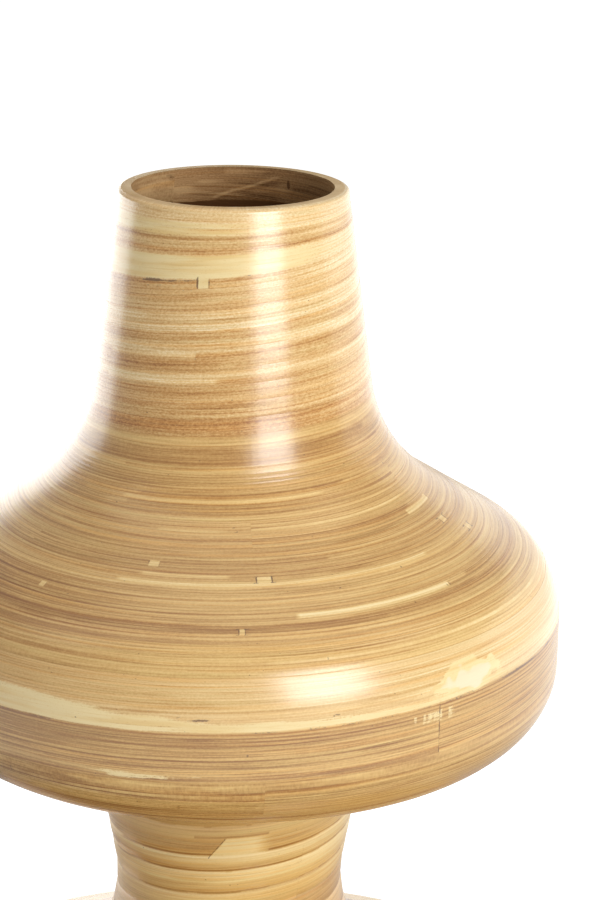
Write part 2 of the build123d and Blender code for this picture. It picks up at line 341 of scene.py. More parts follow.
def outline():
    """Dense points, outward normals and lengths along the wall's outside, from above the rim to the hub."""
    points = [np.array(c, float) for c in CORNERS]
    spots, normals, lengths = [], [], []
    here, total, parts = points[0], 0.0, []

    def lay(spot, way, length):
        spots.append(spot)
        normals.append((-way[1], way[0]))
        lengths.append(length)

    for i in range(1, len(points)):
        if i == len(points) - 1:
            leave, turn = points[i], None
        else:
            back = points[i - 1] - points[i]
            ahead = points[i + 1] - points[i]
            back /= np.linalg.norm(back)
            ahead /= np.linalg.norm(ahead)
            half = math.acos(float(back @ ahead)) / 2
            tangent = ROUNDS[i - 1] / math.tan(half)
            leave = points[i] + back * tangent
            mid = (back + ahead) / np.linalg.norm(back + ahead)
            turn = (points[i] + mid * ROUNDS[i - 1] / math.sin(half), points[i] + ahead * tangent, ROUNDS[i - 1])
        span = np.linalg.norm(leave - here)
        way = (leave - here) / span
        for k in np.arange(0, span, OUTLINE_STEP):
            lay(here + way * k, way, total + k)
        total += span
        parts.append(span)
        if turn is None:
            lay(leave, way, total)
            break
        centre, end, radius = turn
        a0 = math.atan2(leave[1] - centre[1], leave[0] - centre[0])
        a1 = math.atan2(end[1] - centre[1], end[0] - centre[0])
        sweep = (a1 - a0 + math.pi) % (2 * math.pi) - math.pi
        for k in np.arange(0, abs(sweep) * radius, OUTLINE_STEP):
            a = a0 + math.copysign(k / radius, sweep)
            way = np.array([-math.sin(a), math.cos(a)]) * math.copysign(1, sweep)
            lay(centre + radius * np.array([math.cos(a), math.sin(a)]), way, total + k)
        total += abs(sweep) * radius
        parts.append(abs(sweep) * radius)
        here = end
    return np.array(spots), np.array(normals), np.array(lengths), parts


SPOTS, NORMALS, LENGTHS, PARTS = outline()
TOTAL = LENGTHS[-1]


def wall_at(along, depth=0.0):
    """Radius and height at lengths along the outline, this deep under its outside."""
    r = np.interp(along, LENGTHS, SPOTS[:, 0])
    z = np.interp(along, LENGTHS, SPOTS[:, 1])
    nr = np.interp(along, LENGTHS, NORMALS[:, 0])
    nz = np.interp(along, LENGTHS, NORMALS[:, 1])
    size = np.hypot(nr, nz)
    return r - depth * nr / size, z - depth * nz / size


# Turns wound, and length along the outline, where each part of the wall ends
ends = [sum(PARTS[: 2 * corner - 1]) + share * PARTS[2 * corner - 1] for _, corner, share, _, _ in SECTIONS[:-1]]
KNOT_TURNS = np.concatenate([[0], np.cumsum([s[3] for s in SECTIONS])])
KNOT_ALONG = np.array([RIM_ALONG + FIRST_WIDTH] + ends + [TOTAL - LAST_WIDTH])


def wind():
    """Lower edge of the coil at each station, rising smoothly through the ends of the wall's parts."""
    spans = np.diff(KNOT_TURNS)
    rises = np.diff(KNOT_ALONG) / spans
    near, far = 2 * spans[1:] + spans[:-1], spans[1:] + 2 * spans[:-1]
    slopes = (near + far) / (near / rises[:-1] + far / rises[1:])
    slopes = np.concatenate([[(3 * rises[0] - slopes[0]) / 2], slopes, [(3 * rises[-1] - slopes[-1]) / 2]])
    count = round(KNOT_TURNS[-1] * STATIONS)
    turn = np.linspace(0, KNOT_TURNS[-1], count + 1)
    k = np.clip(np.searchsorted(KNOT_TURNS, turn) - 1, 0, len(spans) - 1)
    f = (turn - KNOT_TURNS[k]) / spans[k]
    start = (1 + 2 * f) * (1 - f) ** 2 * KNOT_ALONG[k] + f * (1 - f) ** 2 * spans[k] * slopes[k]
    return start + f * f * (3 - 2 * f) * KNOT_ALONG[k + 1] - f * f * (1 - f) * spans[k] * slopes[k + 1]


# Runs of strip between butt joints: the rim turn, the upper body, the lower body and the turn around the hub
EDGES = wind()
LAST_START = len(EDGES) - 1
upper_end = KNOT_TURNS[UPPER_SECTIONS] / KNOT_TURNS[-1] * LAST_START
upper_runs = math.ceil((upper_end - STATIONS) / (RUN_TURNS * STATIONS))
joints = [STATIONS + round(k * RUN_TURNS * STATIONS) for k in range(upper_runs + 1)]
lower_start = joints[-1]
lower_runs = round((LAST_START - lower_start) / (LOWER_RUN_TURNS * STATIONS))
joints += [lower_start + round(k * (LAST_START - lower_start) / lower_runs) for k in range(1, lower_runs + 1)]
RUNS = [(0, STATIONS)] + list(zip(joints[:-1], joints[1:])) + [(LAST_START, LAST_START + STATIONS)]


def lower_edge(station):
    """Length along the outline of the coil's lower edge at a station, which may be a fraction."""
    return np.interp(station, np.arange(len(EDGES)), EDGES)


def coil_span(station, run):
    """Lengths along the outline of the coil's upper and lower edge at stations of a run."""
    upper = np.full_like(station, RIM_ALONG) if run[0] == 0 else lower_edge(station - STATIONS)
    lower = np.full_like(station, TOTAL) if run[0] == LAST_START else lower_edge(station)
    return upper, lower


# Turns of thin strip counted along the wall, and the length of strip wound so far at each station
FINE = np.arange(0, TOTAL + FINE_STEP, FINE_STEP)
shown = np.interp(FINE - RIM_ALONG, *np.transpose(SHOWN_WIDTH))
TURNS = np.concatenate([[0], np.cumsum(FINE_STEP / shown[:-1])])
STEPS = np.arange(0, LAST_START + STATIONS + STATION_STEP, STATION_STEP)
middle_radius = wall_at((lower_edge(STEPS) + lower_edge(STEPS - STATIONS)) / 2)[0]
WOUND = np.concatenate([[0], np.cumsum(middle_radius[:-1] * STATION_STEP * 2 * math.pi / STATIONS)])

# The coil passes the front, the side that the photograph shows, at this station and then once a turn
FRONT = (RIM_JOINT - FRONT_AZIMUTH) / DEGREES


def from_front(station):
    """Degrees from the front, right positive, and the number of the pass at the front that is nearest."""
    number = np.floor((station - FRONT) / STATIONS + 0.5)
    return -(station - FRONT - number * STATIONS) * DEGREES, number


def front_place(station, along, upper, lower):
    """Length from the rim, along the wall, at which this line of the coil passes the front."""
    number = from_front(station)[1]
    front_upper = np.maximum(lower_edge(FRONT + (number - 1) * STATIONS), RIM_ALONG)
    front_upper = np.where(number <= 0, RIM_ALONG, front_upper)
    front_lower = lower_edge(FRONT + number * STATIONS)
    return front_upper + (along - upper) / (lower - upper) * (front_lower - front_upper) - RIM_ALONG


def chance(*keys):
    """A fixed random number from 0 to 1 for these whole numbers."""
    return float(np.random.default_rng([SEED, *(int(k) + KEY_OFFSET for k in keys)]).random())


def swing(*keys):
    """A fixed random number from -1 to 1 for these whole numbers."""
    return 2 * (chance(*keys) - 0.5)


def wave(name, angle, along, more_seed=0):
    """Smooth noise about 0 over the wall, at degrees around it and lengths along it."""
    height, turns, length, seed = WAVES[name]
    grid = np.random.default_rng([SEED, seed + more_seed]).uniform(-1, 1, (turns, CELLS))
    a = np.mod(np.asarray(angle) / 360, 1) * turns
    b = np.asarray(along) / length + FIRST_CELL
    i, j = np.floor(a).astype(int), np.floor(b).astype(int)
    u, v = a - i, b - j
    u, v = u * u * (3 - 2 * u), v * v * (3 - 2 * v)
    g = [grid[(i + p) % turns, (j + q) % CELLS] for p in (0, 1) for q in (0, 1)]
    return height * ((g[0] * (1 - v) + g[1] * v) * (1 - u) + (g[2] * (1 - v) + g[3] * v) * u)


def smooth(low, high, x):
    """0 below low, 1 above high and a soft step between."""
    f = np.clip((x - low) / (high - low), 0, 1)
    return f * f * (3 - 2 * f)


def between(start, end, soft, x):
    """1 from start to end, and soft steps to 0 outside them."""
    return smooth(start - soft, start, x) * (1 - smooth(end, end + soft, x))


def bell(off, half):
    """1 in the middle of a line, less away from it."""
    return np.exp(-(off / half) ** 2)


def side_mix(left, middle, right, angle):
    """A value that runs from left through middle to right over the front."""
    away = np.clip(angle / SIDE_ANGLE, -1, 1)
    return np.where(away < 0, middle + (left - middle) * -away, middle + (right - middle) * away)


def wandering(angle, place):
    """Length from the rim, shifted so that the strips' edges wander, most of all at the waist."""
    wander = EDGE_WANDER + WAIST_WANDER * smooth(*WAIST_START, place)
    return place + wander * wave("edge", angle, place) + wave("edge_fine", angle, place)


def front_tone(angle, place):
    """Tone of the bands at the front, painted shade on the left side among them, and of the single strips among them.
    """
    wavy = wandering(angle, place)
    tone = side_mix(*BANDS[0][1:], angle) + np.zeros_like(place)
    for before, after in zip(BANDS[:-1], BANDS[1:]):
        step = smooth(after[0] - BAND_SOFT, after[0] + BAND_SOFT, wavy)
        tone = tone + step * (side_mix(*after[1:], angle) - side_mix(*before[1:], angle))
    for spot, half, amount, start, end in LINES:
        off = np.abs(place + wave("line", angle, place) - spot)
        inside = 1 - smooth(half * LINE_SOFT[0], half * LINE_SOFT[1], off)
        tone = tone + inside * between(start, end, END_SOFT, angle) * (amount - LINE_COVER * tone)
    (left, foot), (right, top) = SCRATCH
    side = right + (place - top) / (foot - top) * (left - right)
    patch = smooth(*PATCH_LEFT, angle - side) * (1 - smooth(*PATCH_RIGHT, angle))
    patch = patch * smooth(*PATCH_TOP, place - top) * (1 - smooth(*PATCH_FOOT, place - foot))
    tone = tone + patch * (PATCH_TONE - tone)
    neck = 1 - smooth(*NECK_END, place)
    return TONE_GAIN * tone * (1 - neck * (1 - NECK_GAIN)) + neck * side_mix(*NECK_LIFT, angle)


def putty(angle, place):
    """Where putty and cream fill the surface, and where dashes, dark lines, the painted shadow line under the seam and
    the scratch show.
    """
    width = np.interp(angle, *np.transpose(SEAM_PUTTY)) * (1 + wave("putty_width", angle, place))
    above = SEAM - place
    fill = smooth(-SEAM_SOFT, SEAM_SOFT, above) * (1 - smooth(PUTTY_FADE * width, width + PUTTY_EDGE, above))
    fill = fill * (PUTTY_MEAN + wave("putty", angle, place))
    fill = fill * (1 - PUTTY_THIN * smooth(*PUTTY_THIN_SPAN, angle))
    for spot, centre, half_angle, half, amount in PUTTY_SPOTS:
        reach = np.hypot((angle - spot) / half_angle, (place - centre) / half)
        reach = reach + wave("spot", angle, place) + wave("spot_fine", angle, place)
        side = smooth(-SEAM_SOFT, SEAM_SOFT, above if centre < SEAM else -above)
        fill = np.maximum(fill, amount * side * (1 - smooth(*SPOT_SOFT, reach)))
    start, end, top, foot = SCARS
    aside, level = SCAR_SOFT
    scarred = between(start + aside, end - aside, aside, angle) * smooth(*SCAR_STEP, wave("scar", angle, place))
    fill = np.maximum(fill, SCAR_FILL * scarred * between(top + level, foot - level, level, place))
    ragged = place + wave("ragged", angle, place)
    for start, end, fade_from, fade_to, amount in CREAMS:
        band = smooth(start - CREAM_SOFT[0], start + CREAM_SOFT[0], ragged)
        band = band * (1 - smooth(end - CREAM_SOFT[1], end + CREAM_SOFT[1], ragged))
        fill = np.maximum(fill, band * amount * (1 - CREAM_FADE * smooth(fade_from, fade_to, angle)))
    crack = bell(above - width - CRACK[0], CRACK[1]) * smooth(*CRACK_STEP, wave("crack", angle, place))
    dark = CRACK_DARK * crack * smooth(*CRACK_SPAN[0], angle) * (1 - smooth(*CRACK_SPAN[1], angle))
    # painted shadow line just under the seam, broken into dashes
    below = bell(above + SEAM_SHADOW[0], SEAM_SHADOW[1]) * smooth(*SEAM_SHADOW_STEP, wave("below", angle, place))
    dark = np.maximum(dark, SEAM_SHADOW_DARK * below)
    for spot, half, amount, start, end in DARK_LINES:
        line = bell(ragged - spot, half) * between(start, end, END_SOFT, angle)
        dark = np.maximum(dark, amount * line * (DARK_MEAN + wave("dark", angle, place)))
    (left, foot), (right, top) = SCRATCH
    aslant = place - foot - (angle - left) / (right - left) * (top - foot)
    scratch = bell(aslant, SCRATCH_HALF) * (angle > left) * (angle < right)
    return fill, np.maximum(dark, SCRATCH_DARK * scratch)


def mouth(turn, depth, tone):
    """Tone and dark marks of the inside near the mouth, with painted shade below the lining's edge and far down
    inside, by degrees round from the front and depth (mm).
    """
    (first, first_depth), (last, last_depth) = LINING
    share = (turn - first) / (last - first)
    edge = depth - (first_depth + share * (last_depth - first_depth)) - wave("lining", turn, depth)
    reach = smooth(*LINING_START, share) * (1 - smooth(*LINING_END, share))
    # painted shade on the recessed inside below the lining's edge, and a pale line along that edge
    tone = tone + reach * (LINING_PALE * bell(edge, LINING_HALF) - LINING_SHADE * smooth(*LINING_BELOW, edge))
    tone = tone + MOUTH_PALE * smooth(*MOUTH_STEP, wave("mouth", turn, depth))
    # painted shade far down inside: darker tone and dark marks from this depth on
    deep_shade_share = smooth(*DEEP_SHADE_DEPTH, depth)
    knot, rough = (np.hypot((turn - spot) / half_angle, (depth - centre) / half)
                   for spot, centre, half_angle, half in (MOUTH_KNOT, MOUTH_ROUGH))
    dark = np.maximum(1 - smooth(*KNOT_SOFT, knot), ROUGH_DARK * (1 - smooth(*ROUGH_SOFT, rough)))
    return tone - DEEP_SHADE * deep_shade_share, np.maximum(dark, DEEP_SHADE_DARK * deep_shade_share)


def strip_stations(section, run, radius):
    """Stations of a strip's columns, closer together at butt joints and fine marks."""
    first, last = run
    per_mm = STATIONS / (2 * math.pi * radius)
    per_station = max(LEAST_COLUMNS, round(2 * math.pi * radius / STATIONS / DETAIL[section][0]))
    station = np.linspace(first, last, (last - first) * per_station + 1)
    station[0] += SEAT * per_mm
    station[-1] -= SEAT * per_mm
    fine = [(angle, way * offset * per_mm) for angle, _, half, _, _ in BUTTS
            for offset in [0] + [half + k * TICK for k in range(TICK_COLUMNS)] for way in (-1, 1)]
    if section in FINE_SPANS:
        fine += [(angle, 0) for angle in np.arange(*FINE_SPANS[section])]
    turns = range(first // STATIONS - 1, last // STATIONS + 2)
    fine = np.array([FRONT - angle / DEGREES + turn * STATIONS + offset for angle, offset in fine for turn in turns])
    fine = fine[(station[0] < fine) & (fine < station[-1])]
    station = np.unique(np.concatenate([station, fine]))
    keep = np.concatenate([[True], np.diff(station) > LEAST_GAP * per_mm])
    keep[-1] = True
    return station[keep]


def strip_piece(name, section, run, ply, plies, number):
    """One strip of the coil as a closed mesh, with its lanes, tones and marks as attributes."""
    _, row, groove, bulge, lift, differ, *grain = DETAIL[section]
    at_rim = run[0] == 0 and ply == 0
    at_hub = run[0] == LAST_START and ply == plies - 1
    middle = coil_span(np.array([sum(run) / 2]), run)
    radius = float(wall_at((middle[0] + middle[1]) / 2)[0][0])
    station = strip_stations(section, run, radius)
    upper, lower = coil_span(station, run)
    top = upper + (lower - upper) * ply / plies + (0 if at_rim else SEAT)
    bottom = upper + (lower - upper) * (ply + 1) / plies - SEAT
    width = float(np.mean(bottom - top))

    # Lanes: the turns of thin strip that this piece shows, of uneven width
    count_top, count_bottom = np.interp(top, FINE, TURNS), np.interp(bottom, FINE, TURNS)
    lanes = max(1, round(float(np.mean(count_bottom - count_top))))
    borders = np.arange(lanes + 1.0)
    borders[1:-1] += [LANE_JITTER * swing(number, ply, k) for k in range(1, lanes)]
    rows = max(LEAST_ROWS, round(width / lanes / row))
    lane = np.concatenate([k + np.arange(rows) / rows for k in range(lanes)] + [[lanes]])
    if at_rim:
        lane = np.unique(np.concatenate([lane, RIM_ROWS]))
    share = np.interp(lane, np.arange(lanes + 1), borders) / lanes
    along = np.interp(count_top[:, None] + (count_bottom - count_top)[:, None] * share, TURNS, FINE)
    index = np.minimum(np.floor(lane).astype(int), lanes - 1)
    inside = lane - index
    lane_width = np.diff(borders)[index] / lanes * width
    azimuth = (RIM_JOINT - station * DEGREES)[:, None]
    angle = from_front(station)[0]
    place = front_place(station[:, None], along, upper[:, None], lower[:, None])
    around = np.broadcast_to(angle[:, None], along.shape)
    wound = np.interp(station, STEPS, WOUND)

    # Surface: lift from lane to lane, bulge, grooves between lanes, slow unevenness, and the rim's rounded edge
    lane_lift = np.array([swing(number, ply, k, LIFT_KEY) for k in range(lanes)])[index]
    rise = lift * lane_lift * (LIFT_MEAN + wave("lift", around, along, number % LIFT_SEEDS))
    edge = np.minimum(inside, 1 - inside) * lane_width
    rise = rise + bulge * (4 * inside * (1 - inside) - BULGE_MEAN) - groove * bell(edge, GROOVE_HALF)
    rise = rise + wave("uneven", azimuth, along) + wave("uneven_fine", azimuth, along)
    shade = 0.0
    if section == "waist":
        wavy = wandering(around, place)
        band = np.clip(np.searchsorted(WAIST_EDGES, wavy) - 1, 0, len(WAIST_EDGES) - 2)
        low, high = np.array(WAIST_EDGES)[band], np.array(WAIST_EDGES)[band + 1]
        within = np.clip((wavy - low) / (high - low), 0, 1)
        rise = rise + WAIST_BULGE * (WAIST_LEVEL - (2 * within - 1) ** 4)
        # painted shade: each waist band is paler at its top and darker towards its foot, as light from above would
        # shade it
        shade = WAIST_SHADE * (WAIST_SHADE_PIVOT - within)
    if at_rim:
        down = np.clip(RIM_ROUND - (along - RIM_ALONG), 0, RIM_ROUND)
        rise = rise - (RIM_ROUND - np.sqrt(RIM_ROUND ** 2 - down ** 2))

    # Tones and marks
    seen = 1 - smooth(*BACK, np.abs(around))
    fill, dark = putty(around, place)
    fill, dark = fill * seen, dark * seen
    tone = seen * front_tone(around, place)
    tone = tone + (1 - seen) * wave("back_plies" if plies > 1 else "back", azimuth, along)
    shift = [chance(number, ply, k, SHIFT_KEY) * SEGMENT for k in range(lanes)]
    run_ends = smooth(0, RUN_FADE, wound - wound[0]) * smooth(0, RUN_FADE, wound[-1] - wound)
    for k in range(lanes):
        piece = np.floor((wound + shift[k]) / SEGMENT)
        value = {p: swing(number, ply, k, TONE_KEY, p) for p in np.unique(piece)}
        apart = differ * np.array([value[p] for p in piece]) * run_ends
        tone[:, index == k] += apart[:, None]
    # adds the painted shade of the waist bands to the tone
    tone = tone + shade
    for spot, centre, half, reach, kind in BUTTS:
        off = np.abs(angle - spot) + 360 * ((place.min(axis=1) > centre) | (place.max(axis=1) < centre))
        nearest = np.argmin(off)
        if off[nearest] > BUTT_NEAR:
            continue
        near_pass = (np.abs(np.arange(len(station)) - nearest) < BUTT_COLUMNS)[:, None]
        distance = np.radians(around - spot) * radius
        aside, level = np.abs(distance), np.abs(place - centre)
        hit = (level < reach) & near_pass
        within = hit & (aside < half + BUTT_MARGIN)
        ticks = bell(aside - half - TICK, TICK) * (TICK_MEAN + wave("tick", around, place))
        if kind == "plug":
            fill = np.where(within, 1.0, fill)
            ticks = ticks * np.where(distance > 0, PLUG_RIGHT, 1.0)
        elif kind in PALE_BUTTS:
            tone = np.where(within, BUTT_TONE, tone)
        dark = np.where(hit, np.maximum(dark, ticks * TICK_DEPTH[kind]), dark)
        if kind == "gap":
            serifs = bell(level - reach, SERIF_HALF) * (aside < half + SERIF) * (aside > half)
            dark = np.where(near_pass, np.maximum(dark, SERIF_DARK * serifs), dark)

    # Closed section: outside downwards, inside upwards
    depth_in = WALL + wave("inner", azimuth, along[:, :1])
    slant_top = -WALL * LEAN if at_rim else SCARF
    slant_bottom = 0 if at_hub else SCARF
    inner = INNER_ROWS if section != "neck" else max(INNER_ROWS, round(width / MOUTH_ROW))
    q = np.linspace(0, 1, inner + 1)
    along_in = (bottom + slant_bottom)[:, None] * (1 - q) + (top + slant_top)[:, None] * q
    along_in = np.clip(along_in, 0, TOTAL)
    r_out, z_out = wall_at(along, -rise)
    r_in, z_in = wall_at(along_in, depth_in)
    if at_rim:
        z_in[:, -1] = HEIGHT
        z_out[:, 0] = HEIGHT
    if section in ("base", "foot"):
        z_out = np.maximum(z_out, 0)
    r = np.concatenate([r_out, r_in], axis=1)
    z = np.concatenate([z_out, z_in], axis=1)
    turn = np.radians(azimuth)
    points = np.stack([r * np.cos(turn), r * np.sin(turn), z], axis=2) * MM
    columns, ring = r.shape
    outer = along.shape[1]

    # Faces: the outside lacquered, the inside, edges and ends bare, the top of the rim sanded
    c, j = np.meshgrid(np.arange(columns - 1), np.arange(ring), indexing="ij")
    n = (j + 1) % ring
    quads = np.stack([c * ring + j, (c + 1) * ring + j, (c + 1) * ring + n, c * ring + n], axis=2).reshape(-1, 4)
    bare = MATERIALS.index(BARE)
    kind = np.where(j < outer - 1, MATERIALS.index(LACQUERED), bare)
    if at_rim:
        kind = np.where(j == ring - 1, MATERIALS.index(SANDED), kind)
    kind = np.concatenate([kind.reshape(-1), [bare, bare]])
    caps = [np.arange(ring), np.arange(ring)[::-1] + (columns - 1) * ring]
    loops = np.concatenate([quads.reshape(-1)] + caps)
    starts = np.concatenate([np.arange(len(quads)) * 4, [len(quads) * 4, len(quads) * 4 + ring]])
    totals = np.concatenate([np.full(len(quads), 4), [ring, ring]])
    mesh = bpy.data.meshes.new(name)
    mesh.vertices.add(columns * ring)
    mesh.vertices.foreach_set("co", points.reshape(-1))
    mesh.loops.add(len(loops))
    mesh.loops.foreach_set("vertex_index", loops.astype(np.int32))
    mesh.polygons.add(len(starts))
    for title, values in (("loop_start", starts), ("loop_total", totals), ("material_index", kind)):
        mesh.polygons.foreach_set(title, values.astype(np.int32))
    mesh.polygons.foreach_set("use_smooth", np.ones(len(starts), bool))
    for material in MATERIALS:
        mesh.materials.append(material)
    mesh.update(calc_edges=True)
    mesh.validate()
    mesh.set_sharp_from_angle(angle=math.radians(SHARP))

    # Attributes: lane, length wound and lane width; tone, putty and dark marks, painted shade among them; streaks,
    # grit and paleness
    ease = np.zeros(outer)
    ease[0], ease[-1] = LANE_EASE, -LANE_EASE
    inner_lanes = np.linspace(lanes - INNER_EASE, INNER_EASE, inner + 1)
    coil, marks, grains = np.zeros((3, columns, ring, 3))
    coil[:, :, 0] = PLY_LANES * ply + np.concatenate([lane + ease, inner_lanes])
    coil[:, :, 1] = wound[:, None]
    coil[:, :, 2] = np.concatenate([lane_width, np.full(inner + 1, width / lanes)])
    marks[:, :outer] = np.stack([tone, fill, dark], axis=2)
    tone_in = wave("inner_tone", azimuth, along_in)
    if section == "neck":
        tone_in, marks[:, outer:, 2] = mouth(np.mod(angle, 360)[:, None], HEIGHT - z_in, tone_in)
    marks[:, outer:, 0] = tone_in
    grains += grain
    if section == "belly":
        below = smooth(*BELOW_SPAN, place - SEAM)
        grains[:, :outer, 0] *= 1 + BELOW_SEAM * below
        grains[:, :outer, 2] *= 1 - below
    for title, values in (("coil", coil), ("marks", marks), ("grains", grains)):
        data = mesh.attributes.new(title, "FLOAT_VECTOR", "POINT").data
        data.foreach_set("vector", values.reshape(-1))

    # Texture layout: the strip unrolled and cut into rows that are stacked
    weights = np.concatenate([np.full(outer - 1, width / (outer - 1)), [UV_EDGE],
                              np.full(inner, UV_INNER * width / inner), [UV_EDGE]])
    v_edges = np.concatenate([[0], np.cumsum(weights)]) / weights.sum()
    stack = max(1, round(math.sqrt((wound[-1] - wound[0]) / weights.sum())))
    block = math.ceil((columns - 1) / stack)
    k = c // block
    u0, u1 = (UV_SHEET[0] + UV_SHEET[1] * (c - k * block + side) / block for side in (0, 1))
    v0, v1 = ((k + UV_ROW[0] + UV_ROW[1] * v_edges[j + side]) / stack for side in (0, 1))
    uv = np.stack([u0, v0, u1, v0, u1, v1, u0, v1], axis=2).reshape(-1, 2)
    corner = np.linspace(0, 2 * math.pi, ring, endpoint=False)
    cap = UV_CAP[0] + UV_CAP[1] * np.stack([np.cos(corner), np.sin(corner)], axis=1)
    layer = mesh.uv_layers.new(name="OFBake")
    layer.data.foreach_set("uv", np.concatenate([uv, cap, cap]).reshape(-1))

    piece = bpy.data.objects.new(name + "_wound", mesh)
    bpy.context.collection.objects.link(piece)
    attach(piece, "root")
    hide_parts(name)


class Graph:
    """The nodes of a material or a world, written as nested calls."""

    def __init__(self, owner):
        self.owner = owner
        owner.use_nodes = True
        self.tree = owner.node_tree
        self.tree.nodes.clear()

    def add(self, kind, inputs, **settings):
        node = self.tree.nodes.new(kind)
        for key, value in settings.items():
            setattr(node, key, value)
        for key, value in inputs.items():
            if isinstance(value, bpy.types.NodeSocket):
                self.tree.links.new(value, node.inputs[key])
            else:
                node.inputs[key].default_value = value
        return node

    def math(self, operation, a, b=0.0, c=0.0):
        return self.add("ShaderNodeMath", {0: a, 1: b, 2: c}, operation=operation).outputs[0]

    def about(self, noise, share, base):
        """Base, and a share of the noise about its middle."""
        return self.math("MULTIPLY_ADD", self.math("SUBTRACT", noise, 0.5), share, base)

    def noise(self, place, detail=3.0, roughness=0.55):
        inputs = {"Vector": place, "Scale": 1.0, "Detail": detail, "Roughness": roughness}
        return self.add("ShaderNodeTexNoise", inputs).outputs["Fac"]

    def step(self, value, low, high, start=0.0, end=1.0):
        inputs = {"Value": value, "From Min": low, "From Max": high, "To Min": start, "To Max": end}
        return self.add("ShaderNodeMapRange", inputs, interpolation_type="SMOOTHSTEP").outputs["Result"]

    def mix(self, share, a, b, blend="MIX"):
        settings = {"data_type": "RGBA", "blend_type": blend, "clamp_factor": True}
        return self.add("ShaderNodeMix", {0: share, 6: a, 7: b}, **settings).outputs[2]

    def tint(self, share, colour, factor):
        return self.mix(share, colour, factor, "MULTIPLY")

    def ramp(self, value, stops):
        node = self.add("ShaderNodeValToRGB", {"Fac": value})
        while len(node.color_ramp.elements) < len(stops):
            node.color_ramp.elements.new(0.5)
        for element, (spot, colour) in zip(node.color_ramp.elements, stops):
            element.position = spot
            element.color = linear(colour)
        return node.outputs["Color"]

    def finish(self, colour, roughness, height, distance, strength, coat):
        bump = self.add("ShaderNodeBump", {"Height": height, "Distance": distance, "Strength": strength})
        inputs = {"Base Color": colour, "Roughness": roughness, "Specular IOR Level": SHEEN, "Normal": bump.outputs[0],
                  "Coat Weight": coat, "Coat Roughness": COAT_ROUGHNESS, "Coat IOR": COAT_IOR, "IOR": WOOD_IOR}
        surface = self.add("ShaderNodeBsdfPrincipled", inputs)
        self.add("ShaderNodeOutputMaterial", {"Surface": surface.outputs[0]})
        return self.owner


def linear(colour):
    """A colour as a picture shows it (0 to 255) as the shader's linear values."""
    parts = [v / 255 for v in colour]
    return [v / 12.92 if v <= 0.04045 else ((v + 0.055) / 1.055) ** 2.4 for v in parts] + [1.0]


def bamboo(name, stops, look):
    """Bamboo strip: lanes with fibres along them, lane borders, putty and dark marks, painted shade and shadow among
    the tone and marks.
    """
    g = Graph(bpy.data.materials.new(name))
    attributes = [g.add("ShaderNodeAttribute", {}, attribute_name=title) for title in ("coil", "marks", "grains")]
    (lane, wound, width), (tone, fill, dark), (streaks, gritty, pale) = (
        g.add("ShaderNodeSeparateXYZ", {0: node.outputs["Vector"]}).outputs for node in attributes)
    inside = g.math("FRACT", lane)
    across = g.math("MULTIPLY", inside, width)
    shift = g.math("MULTIPLY", g.math("FLOOR", lane), LANE_SHIFT)

    def grain(along, over, detail, roughness):
        place = {0: g.math("MULTIPLY", wound, along), 1: g.math("MULTIPLY", across, over), 2: shift}
        return g.noise(g.add("ShaderNodeCombineXYZ", place).outputs[0], detail, roughness)

    fibre, hair, broad, patch, grit, hue, speck = (grain(*values) for values in GRAINS.values())

    # Tone, from brown -1 to cream 1
    value = g.about(broad, look["streak"], g.about(fibre, look["fibre"], 0.0))
    value = g.math("MULTIPLY_ADD", g.step(hair, *DARK_HAIR), -look["hair"], value)
    value = g.math("MULTIPLY_ADD", g.step(hair, *PALE_HAIR), PALE_HAIR_SHARE * look["hair"], value)
    value = g.math("MULTIPLY_ADD", value, streaks, tone)
    value = g.math("MULTIPLY_ADD", g.about(grit, look["grit"], 0.0), gritty, value)
    value = g.math("MULTIPLY_ADD", g.step(patch, *BLOTCH), -look["blotch"], value)
    border = g.math("MULTIPLY", g.math("MINIMUM", inside, g.math("SUBTRACT", 1.0, inside)), width)
    edge = g.math("MULTIPLY", g.step(border, *BORDER), g.step(broad, *BORDER_SHOWN))
    value = g.math("MULTIPLY_ADD", g.math("MULTIPLY", edge, streaks), -look["line"], value)
    level = g.math("MULTIPLY_ADD", value, 0.5, 0.5)

    # Colour of the strip with its painted shade, then putty, specks and dark marks over it, painted shadow among them
    colour = g.mix(pale, g.ramp(level, stops), g.ramp(level, look["pale"]))
    colour = g.tint(g.step(hue, *WARM), colour, WARM_TINT)
    colour = g.tint(g.step(hue, *OLIVE), colour, OLIVE_TINT)
    cream = g.mix(g.step(patch, *CREAM_WARM), linear(PUTTY), linear(PUTTY_WARM))
    cream = g.tint(g.step(grit, *CREAM_GRIT), cream, PUTTY_SPECK)
    cream = g.tint(g.step(fibre, *CREAM_FIBRE), cream, PUTTY_SPECK)
    cream = g.mix(g.step(fill, *WHITE_FILL), cream, linear(PUTTY_WHITE))
    ragged = g.about(grit, FILL_GRIT, g.about(fibre, FILL_FIBRE, fill))
    filled = g.math("MULTIPLY", g.step(ragged, *FILL_STEP), g.step(fill, *FILL_LEAST))
    colour = g.mix(g.math("MULTIPLY", filled, FILL_COVER), colour, cream)
    colour = g.mix(g.math("MULTIPLY", g.step(speck, *SPECK_STEP), SPECK_COVER), colour, linear(DARK_MARK))
    dotted = g.step(g.about(grit, DARK_GRIT, dark), *DARK_STEP)
    dotted = g.math("MULTIPLY", dotted, g.step(dark, *DARK_LEAST))
    colour = g.mix(g.math("MULTIPLY", dotted, DARK_COVER), colour, linear(DARK_MARK))

    roughness = g.math("MULTIPLY_ADD", fibre, FIBRE_ROUGH, look["rough"])
    height = fibre
    for layer, share in ((broad, BROAD_RELIEF), (edge, EDGE_RELIEF), (grit, GRIT_RELIEF)):
        height = g.math("MULTIPLY_ADD", layer, share, height)
    return g.finish(colour, roughness, height, RELIEF, look["bump"], look["coat"])


